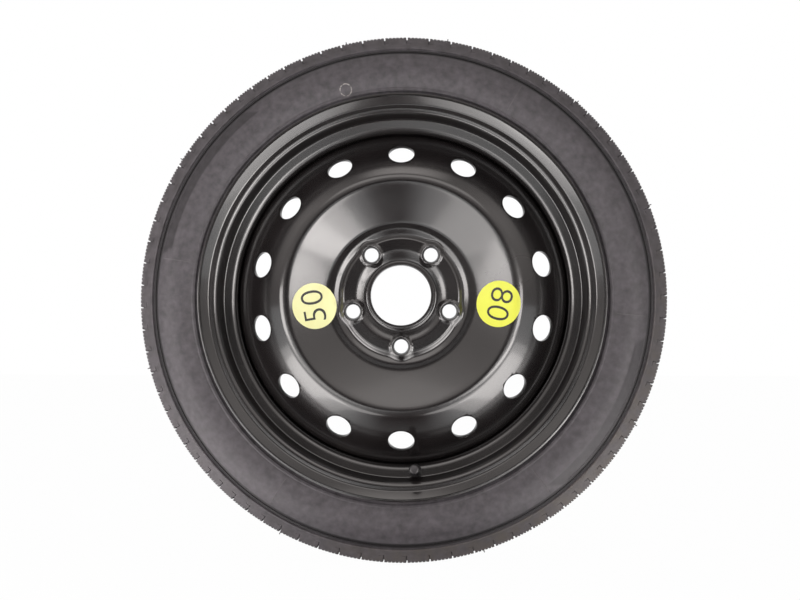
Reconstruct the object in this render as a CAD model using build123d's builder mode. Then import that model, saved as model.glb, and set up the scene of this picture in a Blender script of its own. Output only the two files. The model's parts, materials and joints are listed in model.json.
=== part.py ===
from build123d import *
from math import atan2, cos, degrees, radians, sin, tan
import os

os.makedirs("parts", exist_ok=True)

# Space saver spare wheel: a narrow tyre on a drop-centre steel rim with a pressed disc.
# The wheel's axis is Y, the origin is the wheel's centre and the street side faces -Y.
# Sections are drawn as (radius, outboard distance from the tyre's centre plane).

# Rim
bead_seat_diameter = 405.6
rim_width = 101.6
rim_thickness = 2.5
flange_height = 17.3
flange_wall = 8.0
flange_curl = 8.0
flange_reach = 11.0
seat_length = 22.0
seat_taper = 5.0
well_depth = 16.3
outboard_wall_tilt = 8.0
inboard_wall_tilt = 38.0

# Pressed disc
wheel_offset = 41.0
disc_thickness = 3.6
centre_bore = 65.1
collar_height = 10.0
pad_radius = 81.0
crest_radius = 127.0
crest_rise = 18.5
outer_slope = 38.0
flange_length = 34.0
collar_fillet = 2.0
pad_fillet = 18.0
crest_fillet = 24.0
flange_fillet = 12.0
disc_fit = 0.05

# Bolt ring pressed up round the bolt circle
bolt_circle = 110.0
bolt_count = 5
bolt_hole = 15.0
bolt_angle = 270.0
ring_rise = 3.5
ring_inner = 47.0
ring_outer = 67.0
ring_lobe = 16.3
ring_draft = 45.0
seat_boss = 24.0
seat_boss_rise = 1.5
seat_boss_draft = 20.0
seat_cone_angle = 60.0
seat_land = 1.6

# Vents
vent_count = 14
vent_circle = 314.0
vent_diameter = 28.5

# Weld runs between the disc's flange and the rim
weld_count = 8
weld_arc = 27.0
weld_leg = 3.4
weld_fit = 0.05

# Tyre
tyre_diameter = 581.4
sidewall_bulge = 1.2
tread_width = 97.0
tread_drop = 4.7
groove_place = 19.0
groove_width = 8.0
groove_depth = 5.5
groove_floor = 5.0
shoulder_depth = 14.5
shoulder_step = 1.8
sidewall_thickness = 6.0
crown_thickness = 10.5
bead_width = 15.0
bead_thickness = 9.0
bead_fit = 0.2
lip_gap = 2.4

# Snap-in valve, with distances counted along its axis from the rim's visible face
valve_angle = 274.5
valve_hole = 11.3
valve_fit = 0.1
valve_base_diameter = 14.0
valve_base_height = 5.0
valve_base_gap = 0.5
valve_neck_diameter = 9.4
rubber_length = 20.5
rubber_tail = 10.0
stem_diameter = 6.2
stem_bond = 0.02
thread_diameter = 7.7
stem_length = 31.2
stem_bore = 3.4
core_bore = 5.4
core_bore_depth = 10.5
stem_tail = 2.0

# Valve core
core_fit = 0.1
plug_length = 5.0
plug_sink = 0.8
plug_bore = 2.4
barrel_diameter = 3.0
barrel_length = 10.0
barrel_bore = 2.2
barrel_floor = 0.8
floor_bore = 1.5
gasket_length = 2.0
pin_diameter = 0.9
pin_travel = 1.2
pin_collar_diameter = 1.7
pin_collar_height = 0.5
cup_diameter = 2.8
cup_height = 1.6
seal_height = 0.6
seal_gap = 0.05
spring_wire = 0.22
spring_turns = 5
spring_gap = 0.05

# Valve cap
cap_diameter = 9.4
cap_length = 12.6
cap_thread_gap = 0.3
cap_flutes = 12
flute_diameter = 1.4
flute_depth = 0.35
cap_seal_height = 0.9
cap_seal_bore = 3.6
cap_seal_gap = 0.05
cap_crown = 1.0

# Speed labels
label_diameter = 50.0
label_thickness = 0.2
label_fit = 0.12
label_left_radius = 94.4
label_left_angle = 186.9
label_right_radius = 105.5
label_right_angle = 354.8

# Planes of the wheel: its section, and its face seen from the street
wheel_section = Plane(origin=(0, 0, 0), x_dir=(1, 0, 0), z_dir=(0, 0, -1))


def face_plane(outboard):
    """Plane across the wheel's axis, facing the street side."""
    return Plane(origin=(0, -outboard, 0), x_dir=(1, 0, 0), z_dir=(0, -1, 0))


def in_wheel(radius, outboard, angle):
    """Point of the wheel at a radius, an outboard distance and an angle round the face."""
    return Vector(radius * cos(radians(angle)), -outboard, radius * sin(radians(angle)))


# Rim: the side that faces the tyre, from the outboard lip to the inboard lip
seat_radius = bead_seat_diameter / 2
half_width = rim_width / 2
lip_radius = seat_radius + flange_height
curl_radius = seat_radius + flange_wall
seat_end = half_width - seat_length
seat_end_radius = seat_radius - seat_length * tan(radians(seat_taper))
well_radius = seat_radius - well_depth
wall_height = seat_end_radius - well_radius
outboard_well = seat_end - wall_height * tan(radians(outboard_wall_tilt))
inboard_well = wall_height * tan(radians(inboard_wall_tilt)) - seat_end
well_inside = well_radius - rim_thickness

# The valve stands square on the outboard well wall, clear of the bead seat beside it
seat_inside = seat_end_radius - rim_thickness
valve_foot_radius = seat_inside - valve_base_gap - valve_base_diameter / 2
wall_normal_radius = -sin(radians(outboard_wall_tilt))
wall_normal_out = cos(radians(outboard_wall_tilt))
wall_drop = (seat_end_radius - valve_foot_radius + rim_thickness * wall_normal_radius) * tan(
    radians(outboard_wall_tilt)
)
valve_foot_out = seat_end - wall_drop + rim_thickness * wall_normal_out
valve_foot = in_wheel(valve_foot_radius, valve_foot_out, valve_angle)
valve_direction = in_wheel(wall_normal_radius, wall_normal_out, valve_angle)
valve_across = Vector(-sin(radians(valve_angle)), 0, cos(radians(valve_angle)))
valve_plane = Plane(origin=valve_foot, x_dir=valve_across, z_dir=valve_direction)
valve_section = Plane(
    origin=valve_foot, x_dir=valve_across, z_dir=valve_across.cross(valve_direction)
)
valve_axis = Axis(valve_foot, valve_direction)

with BuildPart() as rim:
    with BuildSketch(wheel_section):
        with BuildLine():
            Polyline(
                (lip_radius, half_width + flange_reach),
                (lip_radius, half_width + flange_curl),
                (curl_radius, half_width),
                (seat_radius, half_width),
                (seat_end_radius, seat_end),
                (well_radius, outboard_well),
                (well_radius, inboard_well),
                (seat_end_radius, -seat_end),
                (seat_radius, -half_width),
                (curl_radius, -half_width),
                (lip_radius, -half_width - flange_curl),
                (lip_radius, -half_width - flange_reach),
            )
            offset(amount=rim_thickness, side=Side.RIGHT, kind=Kind.INTERSECTION)
        make_face()
    revolve(axis=Axis.Y)
    with Locations(valve_plane):
        Cylinder(radius=valve_hole / 2, height=4 * rim_thickness, mode=Mode.SUBTRACT)

# Pressed disc: the street side of the sheet, from the bore's collar to the flange's rear edge
bore_radius = centre_bore / 2
pad_front = wheel_offset + disc_thickness
crest_front = pad_front + crest_rise
disc_radius = well_inside - disc_fit
flange_corner = crest_front - (disc_radius - crest_radius) * tan(radians(outer_slope))
flange_rear = flange_corner - flange_length
ring_front = pad_front + ring_rise
seat_front = ring_front + seat_boss_rise
seat_depth = disc_thickness + seat_boss_rise - seat_land
vent_radius = vent_circle / 2
vent_front = crest_front - (vent_radius - crest_radius) * tan(radians(outer_slope))

with BuildLine() as disc_front:
    FilletPolyline(
        (bore_radius + disc_thickness, pad_front + collar_height),
        (bore_radius + disc_thickness, pad_front),
        (pad_radius, pad_front),
        (crest_radius, crest_front),
        (disc_radius, flange_corner),
        (disc_radius, flange_rear),
        radius=(collar_fillet, pad_fillet, crest_fillet, flange_fillet),
    )

# The ring bulges round each bolt, and its rear pocket is smaller by the sheet's bend
pocket_inset = disc_thickness * tan(radians(ring_draft / 2))
ring_root = disc_thickness / 2
ring_height = ring_root + ring_rise
ring_slope = ring_height * tan(radians(ring_draft))
boss_slope = seat_boss_rise * tan(radians(seat_boss_draft))


def ring_form(level, inset):
    """Bolt ring that rises past a level, where its outline is drawn in by an inset."""
    spread = ring_root * tan(radians(ring_draft)) - inset
    with BuildPart() as form:
        with BuildSketch(wheel_section):
            with BuildLine():
                Polyline(
                    (ring_inner - spread, level - ring_root),
                    (ring_outer + spread, level - ring_root),
                    (ring_outer + spread - ring_slope, level + ring_rise),
                    (ring_inner - spread + ring_slope, level + ring_rise),
                    close=True,
                )
            make_face()
        revolve(axis=Axis.Y)
        with Locations(face_plane(level - ring_root + ring_height / 2)):
            with PolarLocations(bolt_circle / 2, bolt_count, start_angle=bolt_angle):
                Cone(ring_lobe + spread, ring_lobe + spread - ring_slope, ring_height)
    return form.part


with BuildPart() as wheel_disc:
    with BuildSketch(wheel_section):
        with BuildLine():
            add(disc_front.line)
            offset(amount=disc_thickness, side=Side.RIGHT)
        make_face()
    revolve(axis=Axis.Y)
    add(ring_form(pad_front, 0))
    with Locations(face_plane(ring_front + seat_boss_rise / 2)):
        with PolarLocations(bolt_circle / 2, bolt_count, start_angle=bolt_angle):
            Cone(seat_boss / 2, seat_boss / 2 - boss_slope, seat_boss_rise)
    add(ring_form(wheel_offset, pocket_inset), mode=Mode.SUBTRACT)
    with Locations(face_plane(seat_front)):
        with PolarLocations(bolt_circle / 2, bolt_count, start_angle=bolt_angle):
            CounterSinkHole(
                radius=bolt_hole / 2,
                counter_sink_radius=bolt_hole / 2 + seat_depth * tan(radians(seat_cone_angle / 2)),
                counter_sink_angle=seat_cone_angle,
            )
    with Locations(face_plane(vent_front)):
        with PolarLocations(vent_radius, vent_count, start_angle=90):
            with Locations(Location((0, 0, 0), (0, outer_slope, 0))):
                Cylinder(radius=vent_diameter / 2, height=6 * disc_thickness, mode=Mode.SUBTRACT)

# Weld runs: fillets in the corner between the flange's rear edge and the rim's well
weld_radius = well_inside - weld_fit
weld_front = flange_rear - weld_fit
with BuildPart() as weld_beads:
    with BuildSketch(wheel_section):
        with BuildLine():
            Polyline(
                (weld_radius, weld_front),
                (weld_radius - weld_leg, weld_front),
                (weld_radius, weld_front - weld_leg),
                close=True,
            )
        make_face()
    weld_run = revolve(axis=Axis.Y, revolution_arc=weld_arc, mode=Mode.PRIVATE)
    for step in range(weld_count):
        add(weld_run.rotate(Axis.Y, step * 360 / weld_count))

# Tyre: half its section from the crown to the bead and back along the lining
crown_radius = tyre_diameter / 2
half_tread = tread_width / 2


def tread_radius(outboard):
    """Radius of the tread's surface, which falls away from the crown as a shallow arch."""
    return crown_radius - tread_drop * (outboard / half_tread) ** 2


groove_near = groove_place - groove_width / 2
groove_far = groove_place + groove_width / 2
groove_bottom = tread_radius(groove_place) - groove_depth
shoulder_foot = tread_radius(half_tread) - shoulder_depth
half_section = half_width + flange_reach + sidewall_bulge
shoulder_out = half_tread + (half_section - half_tread) * 0.42
bead_face = half_width - bead_fit
bead_seat = seat_radius + bead_fit
toe_seat = bead_seat - bead_width * tan(radians(seat_taper))
widest_radius = (shoulder_foot + lip_radius) / 2
lining_crown = crown_radius - crown_thickness
sidewall_top = (shoulder_foot - 2 * shoulder_step, shoulder_out + shoulder_step / 2)
sidewall_foot = (lip_radius + lip_gap, half_width + flange_curl / 2)

with BuildPart() as tyre:
    with BuildSketch(wheel_section):
        with BuildLine():
            Polyline(
                (lining_crown, 0),
                (crown_radius, 0),
                (crown_radius, groove_near),
                (groove_bottom, groove_place - groove_floor / 2),
                (groove_bottom, groove_place + groove_floor / 2),
                (tread_radius(groove_far), groove_far),
                (tread_radius(half_tread), half_tread),
                (shoulder_foot, shoulder_out),
                (shoulder_foot - shoulder_step, shoulder_out - shoulder_step),
                sidewall_top,
            )
            ThreePointArc(sidewall_top, (widest_radius, half_section), sidewall_foot)
            Polyline(
                sidewall_foot,
                (curl_radius, bead_face),
                (bead_seat, bead_face),
                (toe_seat, bead_face - bead_width),
                (toe_seat + bead_thickness, bead_face - bead_width),
                (widest_radius, half_section - sidewall_thickness),
                (sidewall_top[0], sidewall_top[1] - sidewall_thickness - 2 * shoulder_step),
                (lining_crown, groove_far),
                (lining_crown, 0),
            )
        make_face()
    revolve(axis=Axis.Y)
    mirror(about=Plane.XZ)

# Snap-in valve moulding: the base stands on the wall and the tail holds it from behind
base_radius = valve_base_diameter / 2
passage_radius = valve_hole / 2 - valve_fit
neck_radius = valve_neck_diameter / 2
bond_radius = stem_diameter / 2 + stem_bond
tail_front = -rim_thickness - valve_fit
tail_rear = tail_front - rubber_tail


def tail_room(depth):
    """Radius left round the valve's axis above the well, at a depth behind the wall."""
    radius = valve_foot_radius - depth * wall_normal_radius - well_radius
    return radius / wall_normal_out - valve_base_gap


with BuildPart() as valve_body:
    with BuildSketch(valve_section):
        with BuildLine():
            Polyline(
                (bond_radius, rubber_length),
                (neck_radius, rubber_length),
                (neck_radius, 2 * valve_base_height),
                (base_radius, valve_base_height),
                (base_radius, valve_fit),
                (passage_radius, valve_fit),
                (passage_radius, tail_front),
                (tail_room(-tail_front), tail_front),
                (tail_room(-tail_front - rubber_tail / 2), tail_front - rubber_tail / 2),
                (tail_room(-tail_front - rubber_tail / 2), tail_rear),
                (bond_radius, tail_rear),
                close=True,
            )
        make_face()
    revolve(axis=valve_axis)

# Brass stem bonded through the moulding, opened out at its mouth for the valve core
stem_radius = stem_diameter / 2
thread_radius = thread_diameter / 2
core_floor = stem_length - core_bore_depth
thread_foot = rubber_length + stem_bond
with BuildPart() as valve_stem:
    with BuildSketch(valve_section):
        with BuildLine():
            Polyline(
                (stem_bore / 2, tail_rear - stem_tail),
                (stem_radius, tail_rear - stem_tail),
                (stem_radius, thread_foot),
                (thread_radius, thread_foot),
                (thread_radius, stem_length),
                (core_bore / 2, stem_length),
                (core_bore / 2, core_floor),
                (stem_bore / 2, core_floor),
                close=True,
            )
        make_face()
    revolve(axis=valve_axis)

# Valve core: plug, barrel and gasket stay in the stem, and the pin slides through them
plug_top = stem_length - plug_sink
plug_foot = plug_top - plug_length
plug_radius = core_bore / 2 - core_fit
barrel_top = plug_foot - seal_gap
barrel_foot = barrel_top - barrel_length
spring_floor = barrel_foot + barrel_floor
pin_radius = pin_diameter / 2
seal_top = barrel_foot - seal_gap
cup_top = seal_top - seal_height - seal_gap
collar_top = barrel_top - pin_collar_height

with BuildPart() as core_plug:
    with BuildSketch(valve_plane.offset(plug_foot)):
        Circle(plug_radius)
        Circle(plug_bore / 2, mode=Mode.SUBTRACT)
    extrude(amount=plug_length)
    with Locations(valve_plane.offset(plug_top)):
        Box(core_bore, plug_bore / 2, plug_length / 2, mode=Mode.SUBTRACT)

with BuildPart() as core_barrel:
    with BuildSketch(valve_section):
        with BuildLine():
            Polyline(
                (floor_bore / 2, barrel_foot),
                (barrel_diameter / 2, barrel_foot),
                (barrel_diameter / 2, barrel_top),
                (barrel_bore / 2, barrel_top),
                (barrel_bore / 2, spring_floor),
                (floor_bore / 2, spring_floor),
                close=True,
            )
        make_face()
    revolve(axis=valve_axis)

with BuildPart() as core_gasket:
    with BuildSketch(valve_plane.offset(core_floor + seal_gap)):
        Circle(plug_radius)
        Circle(barrel_diameter / 2 + seal_gap, mode=Mode.SUBTRACT)
    extrude(amount=gasket_length)

with BuildPart() as core_pin:
    with BuildSketch(valve_section):
        with BuildLine():
            Polyline(
                (0, cup_top - cup_height),
                (cup_diameter / 2, cup_top - cup_height),
                (cup_diameter / 2, cup_top),
                (pin_radius, cup_top),
                (pin_radius, collar_top - pin_collar_height),
                (pin_collar_diameter / 2, collar_top - pin_collar_height),
                (pin_collar_diameter / 2, collar_top),
                (pin_radius, collar_top),
                (pin_radius, plug_top),
                (0, plug_top),
                close=True,
            )
        make_face()
    revolve(axis=valve_axis)

with BuildPart() as core_seal:
    with BuildSketch(valve_plane.offset(seal_top - seal_height)):
        Circle(cup_diameter / 2)
        Circle(pin_radius + seal_gap, mode=Mode.SUBTRACT)
    extrude(amount=seal_height)

spring_radius = (pin_radius + barrel_bore / 2) / 2
spring_foot = spring_floor + spring_gap + spring_wire / 2
spring_height = collar_top - pin_collar_height - spring_gap - spring_wire / 2 - spring_foot
with BuildPart() as core_spring:
    with BuildLine():
        coil = Helix(
            pitch=spring_height / spring_turns,
            height=spring_height,
            radius=spring_radius,
            center=valve_foot + valve_direction * spring_foot,
            direction=valve_direction,
        )
    with BuildSketch(Plane(origin=coil @ 0, x_dir=valve_across, z_dir=coil % 0)):
        Rectangle(spring_wire, spring_wire)
    sweep(path=coil, is_frenet=True)

# Dust cap and its washer, screwed down on the stem's mouth
cap_bore_radius = thread_radius + cap_thread_gap
washer_foot = stem_length + cap_seal_gap
cap_inside = washer_foot + cap_seal_height + cap_seal_gap
cap_top = cap_inside + cap_crown
cap_foot = cap_top - cap_length
cap_radius = cap_diameter / 2
with BuildPart() as valve_cap:
    with BuildSketch(valve_section):
        with BuildLine():
            Polyline(
                (0, cap_inside),
                (cap_bore_radius, cap_inside),
                (cap_bore_radius, cap_foot),
                (cap_radius, cap_foot),
                (cap_radius, cap_top - cap_crown),
                (cap_radius - cap_crown, cap_top),
                (0, cap_top),
                close=True,
            )
        make_face()
    revolve(axis=valve_axis)
    with Locations(valve_plane.offset(cap_foot + cap_length / 2)):
        with PolarLocations(cap_radius + flute_diameter / 2 - flute_depth, cap_flutes):
            Cylinder(radius=flute_diameter / 2, height=2 * cap_length, mode=Mode.SUBTRACT)

with BuildPart() as cap_seal:
    with BuildSketch(valve_plane.offset(washer_foot)):
        Circle(cap_bore_radius - cap_seal_gap)
        Circle(cap_seal_bore / 2, mode=Mode.SUBTRACT)
    extrude(amount=cap_seal_height)

# Speed labels: round stickers that lie along the disc's dish
dish_tilt = degrees(atan2(crest_rise, crest_radius - pad_radius))


def label_plane(radius, angle):
    """Plane on the dish at a radius and an angle, facing out of it."""
    outboard = pad_front + (radius - pad_radius) * tan(radians(dish_tilt))
    normal = in_wheel(-sin(radians(dish_tilt)), cos(radians(dish_tilt)), angle)
    across = Vector(-sin(radians(angle)), 0, cos(radians(angle)))
    return Plane(origin=in_wheel(radius, outboard, angle), x_dir=across, z_dir=normal)


with BuildPart() as label_film:
    with BuildSketch(wheel_section):
        with BuildLine():
            add(disc_front.line)
            offset(amount=label_fit + label_thickness, side=Side.LEFT)
        make_face()
        with BuildLine():
            add(disc_front.line)
            offset(amount=label_fit, side=Side.LEFT)
        make_face(mode=Mode.SUBTRACT)
    revolve(axis=Axis.Y)

with BuildPart() as label_left:
    add(label_film.part)
    with Locations(label_plane(label_left_radius, label_left_angle)):
        Cylinder(radius=label_diameter / 2, height=label_diameter / 2, mode=Mode.INTERSECT)

with BuildPart() as label_right:
    add(label_film.part)
    with Locations(label_plane(label_right_radius, label_right_angle)):
        Cylinder(radius=label_diameter / 2, height=label_diameter / 2, mode=Mode.INTERSECT)

pieces = {
    "tyre": tyre,
    "rim": rim,
    "wheel_disc": wheel_disc,
    "weld_beads": weld_beads,
    "valve_body": valve_body,
    "valve_stem": valve_stem,
    "core_plug": core_plug,
    "core_barrel": core_barrel,
    "core_gasket": core_gasket,
    "core_pin": core_pin,
    "core_seal": core_seal,
    "core_spring": core_spring,
    "valve_cap": valve_cap,
    "cap_seal": cap_seal,
    "label_left": label_left,
    "label_right": label_right,
}
for name, piece in pieces.items():
    piece.part.label = name
    export_step(piece.part, f"parts/{name}.step")
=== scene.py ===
"""Space saver spare wheel, dressed for its picture.

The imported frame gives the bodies. The tyre, rim, pressed disc, labels and the valve's moulding, cap
and spring are remodelled here, and every other node keeps its mesh and gets its finish.
"""

import json
import logging
import math
from contextlib import contextmanager
from dataclasses import dataclass
from enum import Enum
from typing import Callable, Iterator, Sequence

import bpy
from mathutils import Matrix, Vector


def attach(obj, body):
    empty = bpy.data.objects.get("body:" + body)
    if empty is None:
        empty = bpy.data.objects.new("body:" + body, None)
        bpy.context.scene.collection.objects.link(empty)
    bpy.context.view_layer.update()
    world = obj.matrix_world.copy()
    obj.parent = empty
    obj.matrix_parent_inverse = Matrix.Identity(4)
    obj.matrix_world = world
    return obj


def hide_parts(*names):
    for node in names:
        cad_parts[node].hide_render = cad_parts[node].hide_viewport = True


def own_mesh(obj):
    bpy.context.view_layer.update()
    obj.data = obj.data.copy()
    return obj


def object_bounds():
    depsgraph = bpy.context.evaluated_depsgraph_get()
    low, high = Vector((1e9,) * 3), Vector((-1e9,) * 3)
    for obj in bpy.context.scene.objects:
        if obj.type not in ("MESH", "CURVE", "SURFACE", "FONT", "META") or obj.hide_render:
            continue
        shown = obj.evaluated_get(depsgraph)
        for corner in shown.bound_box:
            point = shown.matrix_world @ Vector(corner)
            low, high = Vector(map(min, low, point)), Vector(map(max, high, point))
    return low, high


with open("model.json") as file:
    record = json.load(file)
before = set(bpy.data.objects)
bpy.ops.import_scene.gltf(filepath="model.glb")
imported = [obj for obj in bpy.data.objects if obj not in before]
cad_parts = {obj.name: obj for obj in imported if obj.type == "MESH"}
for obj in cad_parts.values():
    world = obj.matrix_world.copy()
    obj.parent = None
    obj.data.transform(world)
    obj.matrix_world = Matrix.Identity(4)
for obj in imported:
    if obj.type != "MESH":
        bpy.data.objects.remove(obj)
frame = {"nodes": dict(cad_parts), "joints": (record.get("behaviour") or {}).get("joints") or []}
cad_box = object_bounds()

MM = 0.001
MERGE = 1e-6
MOST_FILLET = 0.49
Point = tuple[float, float]
Solid = tuple[float, float, float]
Colour = tuple[float, float, float]
Piece = bpy.types.Object
Finish = bpy.types.Material
Socket = bpy.types.NodeSocket
log = logging.getLogger("spare_wheel")


# Drawing sections and turning them into pieces


@dataclass(frozen=True)
class Corner:
    """Corner of a section, in mm.

    Args:
        radius: distance from the axis.
        out: distance along the axis towards the street.
        rounding: radius of its fillet.
        steps: number of edges along the fillet.
    """

    radius: float
    out: float
    rounding: float = 0.0
    steps: int = 6

    def moved(self, radius: float, out: float) -> "Corner":
        """Gives the corner moved along and across the section."""
        return Corner(self.radius + radius, self.out + out, self.rounding, self.steps)


def rounded(corners: Sequence[Corner], closed: bool = False) -> list[Point]:
    """Rounds the corners of a section.

    Args:
        corners: the corners in order.
        closed: whether the last corner joins the first.

    Returns:
        The points of the rounded line.
    """
    points: list[Point] = []
    count = len(corners)
    for index, corner in enumerate(corners):
        here = Vector((corner.radius, corner.out))
        at_end = not closed and index in (0, count - 1)
        if corner.rounding <= 0 or at_end:
            points.append((here.x, here.y))
            continue
        before, after = corners[index - 1], corners[(index + 1) % count]
        back = Vector((before.radius, before.out)) - here
        ahead = Vector((after.radius, after.out)) - here
        reach = min(back.length, ahead.length) * MOST_FILLET
        back.normalize()
        ahead.normalize()
        half = math.acos(max(-1.0, min(1.0, back.dot(ahead)))) / 2
        run = min(corner.rounding / math.tan(half), reach)
        size = run * math.tan(half)
        centre = here + (back + ahead).normalized() * (size / math.sin(half))
        start = here + back * run - centre
        sweep = start.angle_signed(here + ahead * run - centre)
        for step in range(corner.steps + 1):
            place = centre + Matrix.Rotation(-sweep * step / corner.steps, 2) @ start
            points.append((place.x, place.y))
    return points


def refined(points: Sequence[Point], step_at: Callable[[float], float]) -> list[Point]:
    """Adds points along the straight runs of a line.

    Args:
        points: the line.
        step_at: gives the longest edge wanted at a radius, in mm.

    Returns:
        The line with more points.
    """
    fine = [points[0]]
    for (r0, h0), (r1, h1) in zip(points, points[1:]):
        parts = max(1, math.ceil(math.hypot(r1 - r0, h1 - h0) / step_at((r0 + r1) / 2)))
        for part in range(1, parts + 1):
            fine.append((r0 + (r1 - r0) * part / parts, h0 + (h1 - h0) * part / parts))
    return fine


def sheet_loop(points: Sequence[Point], thickness: float) -> list[Point]:
    """Makes the closed section of a sheet.

    Args:
        points: the line of one side, with the sheet on its right.
        thickness: of the sheet, in mm.

    Returns:
        The line and its offset as one loop.
    """
    other: list[Point] = []
    for index, (radius, out) in enumerate(points):
        before = points[max(index - 1, 0)]
        after = points[min(index + 1, len(points) - 1)]
        along = Vector((after[0] - before[0], after[1] - before[1])).normalized()
        other.append((radius + along.y * thickness, out - along.x * thickness))
    return list(points) + other[::-1]


def height_at(points: Sequence[Point], radius: float) -> float:
    """Reads a line's height.

    Args:
        points: the line, in mm.
        radius: where it is read, in mm.

    Returns:
        The outboard distance there, in mm.
    """
    for (r0, h0), (r1, h1) in zip(points, points[1:]):
        if r0 <= radius <= r1 and r1 > r0:
            return h0 + (h1 - h0) * (radius - r0) / (r1 - r0)
    return points[-1][1]


def share_along(value: float, start: float, end: float) -> float:
    """Share of the way from a start to an end, held between 0 and 1."""
    return max(0.0, min(1.0, (value - start) / (end - start)))


def blend_step(value: float) -> float:
    """Eases a value from 0 to 1."""
    value = share_along(value, 0.0, 1.0)
    return value * value * (3 - 2 * value)


def spaced(count: int, start: float = 0.0) -> list[float]:
    """Gives angles evenly spaced round the wheel, in degrees."""
    return [start + 360 / count * step for step in range(count)]


def on_face(radius: float, out: float, angle: float) -> Vector:
    """Point of the wheel, in metres, from its radius, outboard distance and angle."""
    turn = math.radians(angle)
    return Vector((radius * math.cos(turn), -out, radius * math.sin(turn))) * MM


def unselect() -> None:
    """Leaves edit mode with nothing selected."""
    if bpy.context.mode != "OBJECT":
        bpy.ops.object.mode_set(mode="OBJECT")
    bpy.ops.object.select_all(action="DESELECT")


def take(piece: Piece) -> Piece:
    """Selects one piece alone and makes it active.

    Args:
        piece: the piece.

    Returns:
        The same piece.
    """
    unselect()
    piece.select_set(True)
    bpy.context.view_layer.objects.active = piece
    return piece


@contextmanager
def editing(piece: Piece) -> Iterator[None]:
    """Opens a piece in edit mode, all selected, and closes it again.

    Args:
        piece: the piece.

    Returns:
        The context in which it is open.
    """
    take(piece)
    bpy.ops.object.mode_set(mode="EDIT")
    bpy.ops.mesh.select_all(action="SELECT")
    yield
    bpy.ops.object.mode_set(mode="OBJECT")


def merge_all() -> None:
    """Merges doubled points of the piece that is open, and selects all of it."""
    bpy.ops.mesh.select_all(action="SELECT")
    bpy.ops.mesh.remove_doubles(threshold=MERGE)


def face_outwards() -> None:
    """Turns all faces of the piece that is open outwards."""
    bpy.ops.mesh.select_all(action="SELECT")
    bpy.ops.mesh.normals_make_consistent(inside=False)


def begun(name: str) -> Piece:
    """Takes over the primitive that was just added.

    Args:
        name: of the new piece.

    Returns:
        The piece, with its place in its mesh.
    """
    piece = bpy.context.object
    piece.name = piece.data.name = name
    bpy.ops.object.transform_apply(location=True, rotation=True, scale=True)
    return piece


def rod(name: str, radius: float, length: float, sides: int, place: Vector, turn: Solid) -> Piece:
    """Starts a piece or a cutter from a rod.

    Args:
        name: of the rod.
        radius: in mm.
        length: in mm.
        sides: number of faces round it.
        place: of its middle, in metres.
        turn: its turns from upright, in radians.

    Returns:
        The rod.
    """
    unselect()
    bpy.ops.mesh.primitive_cylinder_add(
        vertices=sides, radius=radius * MM, depth=length * MM, location=place, rotation=turn)
    return begun(name)


def turned(name: str, loop: Sequence[Point], steps: int) -> Piece:
    """Turns a closed section round the wheel's axis.

    Args:
        name: of the piece.
        loop: the section's points, in mm.
        steps: number of steps in the full turn.

    Returns:
        The closed piece.
    """
    unselect()
    here = on_face(*loop[0], 0)
    bpy.ops.mesh.primitive_plane_add(size=MM, location=here)
    piece = begun(name)
    with editing(piece):
        bpy.ops.mesh.merge(type="CENTER")
        for place in [*loop[1:], loop[0]]:
            there = on_face(*place, 0)
            bpy.ops.mesh.extrude_vertices_move(TRANSFORM_OT_translate={"value": there - here})
            here = there
        merge_all()
        bpy.ops.mesh.spin(steps=steps, angle=math.tau, center=(0, 0, 0), axis=(0, 1, 0))
        merge_all()
        face_outwards()
    return piece


def settle(piece: Piece, place: Matrix) -> Piece:
    """Moves a piece to its place and puts that place in its mesh.

    Args:
        piece: the piece.
        place: where it goes.

    Returns:
        The same piece.
    """
    take(piece)
    piece.matrix_world = place
    bpy.ops.object.transform_apply(location=True, rotation=True, scale=True)
    return piece


def joined(pieces: Sequence[Piece], name: str) -> Piece:
    """Joins pieces into the first of them.

    Args:
        pieces: the pieces.
        name: of the joined piece.

    Returns:
        The joined piece.
    """
    take(pieces[0])
    for piece in pieces:
        piece.select_set(True)
    bpy.ops.object.join()
    pieces[0].name = pieces[0].data.name = name
    return pieces[0]


def round_copies(piece: Piece, angles: Sequence[float], name: str) -> Piece:
    """Copies a piece round the wheel's axis and joins the copies.

    Args:
        piece: the piece at angle zero, which is used up.
        angles: the copies' angles, in degrees.
        name: of the joined piece.

    Returns:
        The joined piece.
    """
    copies = []
    for angle in angles:
        copy = bpy.data.objects.new(name, piece.data.copy())
        copy.data.transform(Matrix.Rotation(-math.radians(angle), 4, "Y"))
        bpy.context.scene.collection.objects.link(copy)
        copies.append(copy)
    bpy.data.objects.remove(piece)
    return joined(copies, name)


def applied(piece: Piece, kind: str, **settings: object) -> Piece:
    """Changes a piece by a modifier.

    Args:
        piece: the piece.
        kind: Blender's name of the modifier.
        settings: the modifier's own properties.

    Returns:
        The same piece.
    """
    take(piece)
    modifier = piece.modifiers.new(kind.lower(), kind)
    for key, value in settings.items():
        setattr(modifier, key, value)
    bpy.ops.object.modifier_apply(modifier=modifier.name)
    return piece


def carved(piece: Piece, cutter: Piece) -> Piece:
    """Cuts a piece with another.

    Args:
        piece: the piece.
        cutter: what is cut away, which is used up.

    Returns:
        The same piece.
    """
    applied(piece, "BOOLEAN", operation="DIFFERENCE", solver="MANIFOLD", object=cutter)
    bpy.data.objects.remove(cutter)
    return piece


def eased(piece: Piece, width: float, angle: float, segments: int = 2) -> Piece:
    """Rounds a piece's edges sharper than an angle in degrees, over a width in mm."""
    return applied(piece, "BEVEL", width=width * MM, segments=segments, limit_method="ANGLE",
                   angle_limit=math.radians(angle), use_clamp_overlap=True)


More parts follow.
